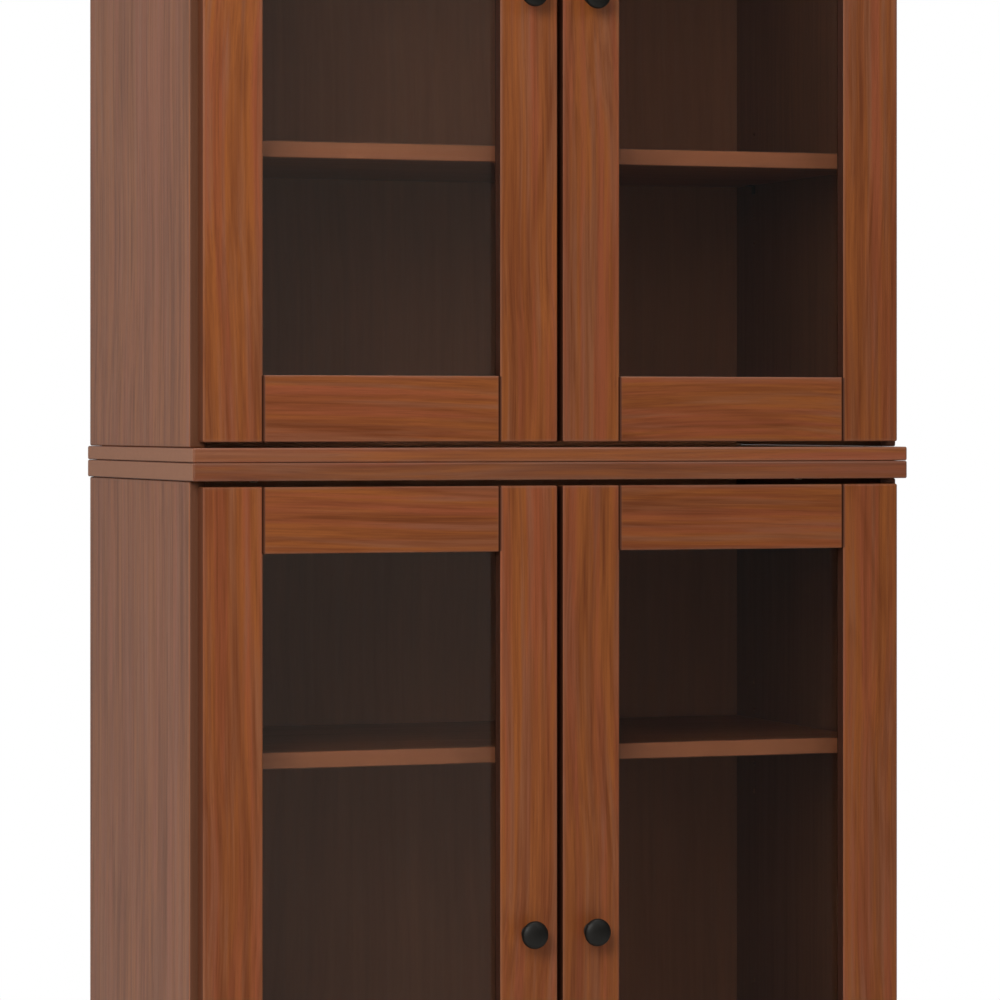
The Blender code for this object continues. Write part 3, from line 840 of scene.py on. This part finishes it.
def build_stain_and_groove_shade():
    """1 along the upright lines where a frame's rails meet its stiles, above and below the pane:
    gathered stain and painted groove shade.
    """
    group, start, end = new_group(
        "joint_stain",
        [
            ("Vector", "NodeSocketVector", None),
            ("Middle", "NodeSocketVector", None),
            ("Half Width", "NodeSocketFloat", 0.1),
            ("Half Height", "NodeSocketFloat", 0.4),
            ("Reach", "NodeSocketFloat", 0.002),
        ],
        [("Mask", "NodeSocketFloat")],
    )
    offset = vector_math(group, "SUBTRACT", start.outputs["Vector"], start.outputs["Middle"])
    split = group.nodes.new("ShaderNodeSeparateXYZ")
    group.links.new(offset.outputs[0], split.inputs[0])
    from_middle = calc(group, "ABSOLUTE", split.outputs["X"])
    sideways = calc(group, "SUBTRACT", from_middle, start.outputs["Half Width"])
    from_middle = calc(group, "ABSOLUTE", split.outputs["Z"])
    upwards = calc(group, "SUBTRACT", from_middle, start.outputs["Half Height"])
    reach = start.outputs["Reach"]
    away = ramp(group, calc(group, "ABSOLUTE", sideways), calc(group, "MULTIPLY", reach, 0.55), reach)
    beside_rail = ramp(group, upwards, 0.0, 0.0012)
    mask = calc(group, "MULTIPLY", calc(group, "SUBTRACT", 1.0, away), beside_rail)
    group.links.new(mask, end.inputs["Mask"])
    return group


STAIN_AND_GROOVE_SHADE = build_stain_and_groove_shade()
JOINT_REACH = 0.0024
# The joints are darkened partly by stain gathered in them and partly by painted shade of the grooves.
STAIN_AND_GROOVE_SHADE_SHARE = 0.86
STAIN_AND_GROOVE_SHADE_COLOUR = (0.052, 0.012, 0.003, 1)
PIECE_TONES = {"hinge_stile": 1.00, "meeting_stile": 1.00, "top_rail": 0.97, "bottom_rail": 0.98}
# Both doors are toned down, the right one more: painted shade for the key lamp's light falling off to
# the right.
HAND_PAINTED_SHADE = {"left": 0.97, "right": 0.88}
# Darker colours for the frames' side faces: painted shade, on the hinge stile's outer face and on the
# faces round each opening and between the doors.
OUTER_EDGE_PAINTED_SHADE = (0.105, 0.024, 0.004)
INNER_EDGE_PAINTED_SHADE = (0.030, 0.006, 0.001)
EDGE_WAYS = {"up": ((-1, 0, 0), (1, 0, 0)), "across": ((0, 0, -1), (0, 0, 1))}


def frame_stain_and_groove_shade(middle, half_width, half_height):
    """What darkens the joints of one door frame: gathered stain and painted groove shade."""

    def darken(tree, vector, colour):
        joint_darkening = tree.nodes.new("ShaderNodeGroup")
        joint_darkening.node_tree = STAIN_AND_GROOVE_SHADE
        tree.links.new(vector, joint_darkening.inputs["Vector"])
        joint_darkening.inputs["Middle"].default_value = middle
        joint_darkening.inputs["Half Width"].default_value = half_width
        joint_darkening.inputs["Half Height"].default_value = half_height
        joint_darkening.inputs["Reach"].default_value = JOINT_REACH
        share = calc(tree, "MULTIPLY", joint_darkening.outputs["Mask"], STAIN_AND_GROOVE_SHADE_SHARE)
        return mixed(tree, share, colour, STAIN_AND_GROOVE_SHADE_COLOUR)

    return darken


def opening(tier, hand):
    """The clear opening of a door frame: its low and high corners in x and z."""
    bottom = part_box(f"{tier}_{hand}_bottom_rail")
    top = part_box(f"{tier}_{hand}_top_rail")
    return Vector((bottom[0].x, 0, bottom[1].z)), Vector((bottom[1].x, 0, top[0].z))


for tier_number, tier in enumerate(TIERS):
    for hand_number, (hand, sign) in enumerate(HANDS):
        low, high = opening(tier, hand)
        joint_darkening = frame_stain_and_groove_shade((low + high) / 2, (high.x - low.x) / 2, (high.z - low.z) / 2)
        for number, (piece, tone) in enumerate(PIECE_TONES.items()):
            node = f"{tier}_{hand}_{piece}"
            order = number + 4 * hand_number + 8 * tier_number
            shift = (0.23 * order + 0.6, 0.37 * order, 0.71 * order)
            grain = "up" if "stile" in piece else "across"
            share = tone * HAND_PAINTED_SHADE[hand]
            tones = toned(WARM, share)
            # Painted shade on the frame pieces' side faces.
            if piece == "hinge_stile":
                edges = [((sign, 0, 0), OUTER_EDGE_PAINTED_SHADE, 0.9), ((-sign, 0, 0), INNER_EDGE_PAINTED_SHADE, 0.95)]
            else:
                edges = [(way, INNER_EDGE_PAINTED_SHADE, 0.95) for way in EDGE_WAYS[grain]]
            dress(node, stained_wood(node, grain, shift, tones, gloss=0.25, edges=edges, joint=joint_darkening))

# ------------------------------------------------------------------ panes
# Clear float glass, 3 mm thick, let into each frame from behind. It has a faint green tint, is
# very slightly uneven, and carries a thin patchy film.


def cabinet_glass(name, shift, shade):
    """Clear glass with a thin uneven film. Of the lamps' light it lets the share shade through."""
    material, tree, shader, places = new_material(name)
    shader.inputs["Transmission Weight"].default_value = 1.0
    shader.inputs["IOR"].default_value = 1.48
    shader.inputs["Metallic"].default_value = 0.0
    turn = tree.nodes.new("ShaderNodeMapping")
    turn.inputs["Location"].default_value = shift
    tree.links.new(places.outputs["Object"], turn.inputs["Vector"])
    film = noise_along(tree, turn.outputs["Vector"], 26, 14, 4.0, 0.6)
    tint = mixed(tree, film, (0.90, 0.92, 0.91, 1), (0.84, 0.86, 0.85, 1))
    tree.links.new(tint, shader.inputs["Base Color"])
    smear = calc(tree, "MULTIPLY", ramp(tree, film, 0.50, 0.80), 0.035)
    tree.links.new(smear, shader.inputs["Roughness"])
    roughen(tree, shader, noise_along(tree, turn.outputs["Vector"], 9, 6, 1.0), 0.04, 0.0004)
    clear = tree.nodes.new("ShaderNodeBsdfTransparent")
    clear.inputs["Color"].default_value = (shade, shade, shade, 1)
    path = tree.nodes.new("ShaderNodeLightPath")
    either = tree.nodes.new("ShaderNodeMixShader")
    tree.links.new(path.outputs["Is Shadow Ray"], either.inputs["Fac"])
    tree.links.new(shader.outputs["BSDF"], either.inputs[1])
    tree.links.new(clear.outputs["BSDF"], either.inputs[2])
    tree.links.new(either.outputs["Shader"], tree.nodes["Material Output"].inputs["Surface"])
    return material


PANE_SHADE = 0.16
for tier_number, tier in enumerate(TIERS):
    for hand_number, (hand, sign) in enumerate(HANDS):
        shift = (1.7 * hand_number, 0, 2.3 * tier_number)
        dress(f"{tier}_{hand}_pane", cabinet_glass(f"{tier}_{hand}_glass", shift, PANE_SHADE))

# ------------------------------------------------------------------ glazing strips
# Brown plastic strips, rounded towards the glass and mitred at the corners, pressed into the
# pocket behind each pane so that it can't fall out.


def brown_plastic(name):
    """Moulded plastic with a fine stipple and slight changes of tone."""
    material, tree, shader, places = new_material(name)
    stipple = noise_along(tree, places.outputs["Object"], 2200, 2200, 2.0)
    cloud = noise_along(tree, places.outputs["Object"], 40, 40, 2.0)
    tone = mixed(tree, cloud, (0.060, 0.024, 0.011, 1), (0.036, 0.014, 0.007, 1))
    tree.links.new(tone, shader.inputs["Base Color"])
    tree.links.new(calc(tree, "MULTIPLY_ADD", stipple, 0.2, 0.38), shader.inputs["Roughness"])
    roughen(tree, shader, stipple, 0.15, 0.0002)
    return material


# Points of the strip's section: how far outside the opening, and how far behind the glass.
STRIP_SECTION = (
    (0.0006, 0.00005), (0.0076, 0.00005), (0.0076, 0.0015), (0.0038, 0.0015),
    (0.0025, 0.00135), (0.0015, 0.0010), (0.0008, 0.0005),
)
STRIP_PLASTIC = brown_plastic("brown_plastic")
for tier in TIERS:
    for hand, sign in HANDS:
        low, high = opening(tier, hand)
        glass_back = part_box(f"{tier}_{hand}_pane")[1].y
        shape = bmesh.new()
        rings = []
        for outside, behind in STRIP_SECTION:
            y = glass_back + behind
            corners = (
                (low.x - outside, y, low.z - outside), (high.x + outside, y, low.z - outside),
                (high.x + outside, y, high.z + outside), (low.x - outside, y, high.z + outside),
            )
            rings.append([shape.verts.new(corner) for corner in corners])
        for near, far in zip(rings, rings[1:] + rings[:1]):
            for step in range(4):
                after = (step + 1) % 4
                shape.faces.new((near[step], near[after], far[after], far[step]))
        bmesh.ops.recalc_face_normals(shape, faces=shape.faces)
        mesh = mesh_of(f"{tier}_{hand}_glazing_strip", shape)
        mesh.materials.append(STRIP_PLASTIC)
        strip = add_piece(mesh.name, mesh)
        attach(strip, f"{tier}_{hand}_door")

# ------------------------------------------------------------------ knobs
# Turned zinc knobs with a low dome on a waisted neck, lacquered black and worn a little in fine
# scratches. Each is held by one screw from the back of the meeting stile.


TURNED_SMOOTH_BELOW = radians(32)


def turned(name, profile, segments, place, facing):
    """A mesh turned from (height, radius) points that start and end on the axis, then set down."""
    shape = bmesh.new()
    rings = []
    for height, radius in profile[1:-1]:
        turns = [2 * pi * step / segments for step in range(segments)]
        rings.append([shape.verts.new((radius * cos(a), radius * sin(a), height)) for a in turns])
    first = shape.verts.new((0, 0, profile[0][0]))
    last = shape.verts.new((0, 0, profile[-1][0]))
    for step in range(segments):
        after = (step + 1) % segments
        shape.faces.new((first, rings[0][step], rings[0][after]))
        shape.faces.new((last, rings[-1][step], rings[-1][after]))
        for near, far in zip(rings, rings[1:]):
            shape.faces.new((near[step], near[after], far[after], far[step]))
    bmesh.ops.recalc_face_normals(shape, faces=shape.faces)
    turn = facing.to_track_quat("Z", "Y").to_matrix().to_4x4()
    bmesh.ops.transform(shape, matrix=Matrix.Translation(place) @ turn, verts=shape.verts)
    mesh = mesh_of(name, shape)
    mesh.shade_smooth()
    mesh.set_sharp_from_angle(angle=TURNED_SMOOTH_BELOW)
    return mesh


def arc(centre, radius, start, end, steps):
    """Points of an arc of a section, from one angle to another, in (height, radius)."""
    turns = [radians(start + (end - start) * step / steps) for step in range(steps + 1)]
    return [(centre[0] + radius * sin(turn), centre[1] + radius * cos(turn)) for turn in turns]


KNOB_FOOT = 0.0022
KNOB_FOOT_RADIUS = 0.0090
KNOB_NECK = 0.0060
KNOB_HEAD_BACK = 0.0140
KNOB_RIM = 0.0022
KNOB_DOME = 0.0045
KNOB_ARRIS = 0.0005
KNOB_FOOT_TAPER = 0.0006
KNOB_FOOT_COVE = 0.0024
KNOB_HEAD_COVE = 0.0034
KNOB_CROWN_STEPS = 12
KNOB_SEGMENTS = 72
BLACK = metal("black_lacquer", (0.0040, 0.0036, 0.0024), 0.50, 700, 700, metallic=0.0, wear=0.03)
BLACK.node_tree.nodes["Principled BSDF"].inputs["Specular IOR Level"].default_value = 0.30
KNOB_SCREW = {
    "Radius": 0.0041, "Height": 0.0021, "Buried": 0.0003, "Crown": 0.66,
    "Slot_Length": 0.0042, "Slot_Width": 0.0010, "Slot_Depth": 0.0013,
}
BACKWARDS = Vector((0, 1, 0))
FORWARDS = Vector((0, -1, 0))
for tier in TIERS:
    for hand, sign in HANDS:
        node = f"{tier}_{hand}_knob"
        low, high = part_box(node)
        axis = (low + high) / 2
        seat = Vector((axis.x, high.y, axis.z))
        reach = high.y - low.y
        head = (high.x - low.x) / 2
        rim_line = (reach - KNOB_DOME - KNOB_RIM, head - KNOB_RIM)
        profile = [(0, 0), (0, KNOB_FOOT_RADIUS - KNOB_ARRIS), (KNOB_ARRIS, KNOB_FOOT_RADIUS)]
        profile.append((KNOB_FOOT - KNOB_ARRIS, KNOB_FOOT_RADIUS))
        profile.append((KNOB_FOOT, KNOB_FOOT_RADIUS - KNOB_FOOT_TAPER))
        foot_cove = (KNOB_FOOT + KNOB_FOOT_COVE, KNOB_NECK + KNOB_FOOT_COVE)
        head_cove = (KNOB_HEAD_BACK - KNOB_HEAD_COVE, KNOB_NECK + KNOB_HEAD_COVE)
        profile += arc(foot_cove, KNOB_FOOT_COVE, 250, 180, 6)
        profile += arc(head_cove, KNOB_HEAD_COVE, 180, 112, 6)
        profile += arc(rim_line, KNOB_RIM, -62, 34, 8)
        crown_start = profile[-1]
        for step in range(1, KNOB_CROWN_STEPS):
            turn = pi / 2 * step / KNOB_CROWN_STEPS
            height = crown_start[0] + (reach - crown_start[0]) * sin(turn)
            profile.append((height, crown_start[1] * cos(turn)))
        profile.append((reach, 0))
        mesh = turned(node + "_turned", profile, KNOB_SEGMENTS, seat, FORWARDS)
        mesh.materials.append(BLACK)
        knob = add_piece(node + "_turned", mesh)
        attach(knob, f"{tier}_{hand}_door")
        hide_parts(node)
        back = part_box(f"{tier}_{hand}_meeting_stile")[1].y
        spot = [(Vector((axis.x, back, axis.z)), BACKWARDS)]
        name = f"{tier}_{hand}_knob_screw"
        screw = heads(name, spot, NICKEL, KNOB_SCREW)
        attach(screw, f"{tier}_{hand}_door")

# ------------------------------------------------------------------ hinge arms and links
# Nickel-plated steel: an arm on a wing plate screwed to the side, and a cranked link that joins
# it to the cup. Two screws in the arm set the door sideways and in depth.

ARM_EYE = 0.0023
WING_SCREW_RISE = 0.016
WING_LINE = 0.037
SET_SCREWS_BEHIND_PIVOT = (0.031, 0.056)
WING_SCREW = {
    "Radius": 0.0036, "Height": 0.0016, "Buried": 0.0003, "Crown": 0.62,
    "Slot_Length": 0.0038, "Slot_Width": 0.0009, "Slot_Depth": 0.0011,
}
SET_SCREW = {
    "Radius": 0.0030, "Height": 0.0011, "Buried": 0.0006, "Crown": 0.78,
    "Slot_Length": 0.0036, "Slot_Width": 0.0009, "Slot_Depth": 0.0009,
}
RAY_START = 0.08
wing_spots = []
set_spots = []
for tier in TIERS:
    for hand, sign in HANDS:
        for level in ("bottom", "top"):
            arm = f"{tier}_{hand}_{level}_hinge_arm"
            dress(arm, NICKEL)
            dress(f"{tier}_{hand}_{level}_hinge_link", NICKEL)
            low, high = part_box(arm)
            middle = (low + high) / 2
            pivot_y = low.y + ARM_EYE
            outward = Vector((sign, 0, 0))
            inboard = middle.x - sign * RAY_START
            aims = [
                (case_low.y + WING_LINE, middle.z + rise, wing_spots)
                for rise in (-WING_SCREW_RISE, WING_SCREW_RISE)
            ]
            aims += [(pivot_y + behind, middle.z, set_spots) for behind in SET_SCREWS_BEHIND_PIVOT]
            for y, z, spots in aims:
                hit, place, normal, face = nodes[arm].ray_cast(Vector((inboard, y, z)), outward)
                spots.append((place, normal))
wing_screws = heads("wing_screws", wing_spots, NICKEL, WING_SCREW)
set_screws = heads("set_screws", set_spots, NICKEL, SET_SCREW)
for screws in (wing_screws, set_screws):
    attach(screws, "cabinet")

# ------------------------------------------------------------------ hinge cups
# Pressed steel cups, nickel plated, let into the round bores of the hinge stiles. Each has a thin
# flange, two ears with a screw in each, and the pin that the link turns on.

CUP_SECTION = (
    (-0.0114, 0), (-0.0114, 0.0160), (-0.0112, 0.0167), (-0.0106, 0.0171), (0.00005, 0.0172),
    (0.00005, 0.0182), (0.0003, 0.0183), (0.0005, 0.0181), (0.0005, 0.0170), (0.0002, 0.0167),
    (-0.0004, 0.0166), (-0.0098, 0.0164), (-0.0104, 0.0158), (-0.0106, 0.0150), (-0.0106, 0),
)
CUP_CENTRE_INSET = 0.0225
CUP_PIVOT_INSET = 0.0102
CUP_PIVOT_DEPTH = 0.0030
EAR_REACH = 0.0275
EAR_HALF_WIDTH = 0.0078
EAR_THICKNESS = 0.0005
EAR_SCREW_REACH = 0.0226
EAR_STEPS = 12
EAR_LIFT = 0.00002
EAR_SINK = 0.0001
EAR_SCREW = {
    "Radius": 0.0034, "Height": 0.0012, "Buried": 0.0002, "Crown": 0.62,
    "Slot_Length": 0.0036, "Slot_Width": 0.0009, "Slot_Depth": 0.0009,
}
PIVOT_PIN_RADIUS = 0.0010
PIVOT_PIN_HALF = 0.0108
PIVOT_PIN_SEGMENTS = 20


def ear_outline():
    """Outline of the plate that both ears are part of, a strip with round ends."""
    half_straight = EAR_REACH - EAR_HALF_WIDTH
    turns = [pi * step / EAR_STEPS for step in range(EAR_STEPS + 1)]
    top = [(EAR_HALF_WIDTH * cos(a), half_straight + EAR_HALF_WIDTH * sin(a)) for a in turns]
    return top + [(-x, -y) for x, y in top]


def plate_mesh():
    """The ear plate, a hair above Z 0 and thinner than the cup's flange, as a closed solid."""
    shape = bmesh.new()
    ring = [shape.verts.new((x, y, EAR_LIFT)) for x, y in ear_outline()]
    face = shape.faces.new(ring)
    raised = bmesh.ops.extrude_face_region(shape, geom=[face])["geom"]
    moved = [item for item in raised if isinstance(item, bmesh.types.BMVert)]
    bmesh.ops.translate(shape, vec=(0, 0, EAR_THICKNESS - EAR_SINK), verts=moved)
    bmesh.ops.recalc_face_normals(shape, faces=shape.faces)
    return mesh_of("ear_plate", shape)


def modified(name, mesh, changes):
    """A mesh after exact booleans with (operation, mesh) pairs, in order."""
    body = add_piece(name, mesh)
    others = []
    for operation, other_mesh in changes:
        other = add_piece(name + "_other", other_mesh)
        others.append(other)
        change = body.modifiers.new("change", "BOOLEAN")
        change.operation = operation
        change.solver = "EXACT"
        change.object = other
    result = mesh_after(body)
    for helper in (body, *others):
        bpy.data.objects.remove(helper, do_unlink=True)
    return result


ORIGIN = Vector((0, 0, 0))
UPWARDS = Vector((0, 0, 1))
MOUTH_SECTION = ((-0.002, 0), (-0.002, 0.0169), (0.002, 0.0169), (0.002, 0))
CUP_SEGMENTS = 64
mouth = turned("cup_mouth", MOUTH_SECTION, CUP_SEGMENTS, ORIGIN, UPWARDS)
cup_plate = modified("ear_plate", plate_mesh(), [("DIFFERENCE", mouth)])
cup_body = turned("cup_body", CUP_SECTION, CUP_SEGMENTS, ORIGIN, UPWARDS)
whole_cup = modified("cup", cup_body, [("UNION", cup_plate)])
for tier in TIERS:
    for hand, sign in HANDS:
        stile_low, stile_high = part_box(f"{tier}_{hand}_hinge_stile")
        outer = stile_low.x if sign < 0 else stile_high.x
        ear_spots = []
        shape = bmesh.new()
        for level in ("bottom", "top"):
            arm_low, arm_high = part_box(f"{tier}_{hand}_{level}_hinge_arm")
            height = (arm_low.z + arm_high.z) / 2
            centre = Vector((outer - sign * CUP_CENTRE_INSET, stile_high.y, height))
            cup = whole_cup.copy()
            turn = BACKWARDS.to_track_quat("Z", "Y").to_matrix().to_4x4()
            cup.transform(Matrix.Translation(centre) @ turn)
            shape.from_mesh(cup)
            half = PIVOT_PIN_HALF
            rod = [(-half, 0), (-half, PIVOT_PIN_RADIUS), (half, PIVOT_PIN_RADIUS), (half, 0)]
            line = Vector((outer - sign * CUP_PIVOT_INSET, stile_high.y - CUP_PIVOT_DEPTH, centre.z))
            shape.from_mesh(turned("cup_pin", rod, PIVOT_PIN_SEGMENTS, line, UPWARDS))
            for rise in (-EAR_SCREW_REACH, EAR_SCREW_REACH):
                ear_spots.append((centre + Vector((0, EAR_THICKNESS, rise)), BACKWARDS))
        name = f"{tier}_{hand}_hinge_cups"
        mesh = mesh_of(name, shape)
        mesh.materials.clear()
        mesh.materials.append(NICKEL)
        mesh.shade_smooth()
        mesh.set_sharp_from_angle(angle=TURNED_SMOOTH_BELOW)
        cups = add_piece(name, mesh)
        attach(cups, f"{tier}_{hand}_door")
        name = f"{tier}_{hand}_ear_screws"
        screws = heads(name, ear_spots, NICKEL, EAR_SCREW)
        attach(screws, f"{tier}_{hand}_door")
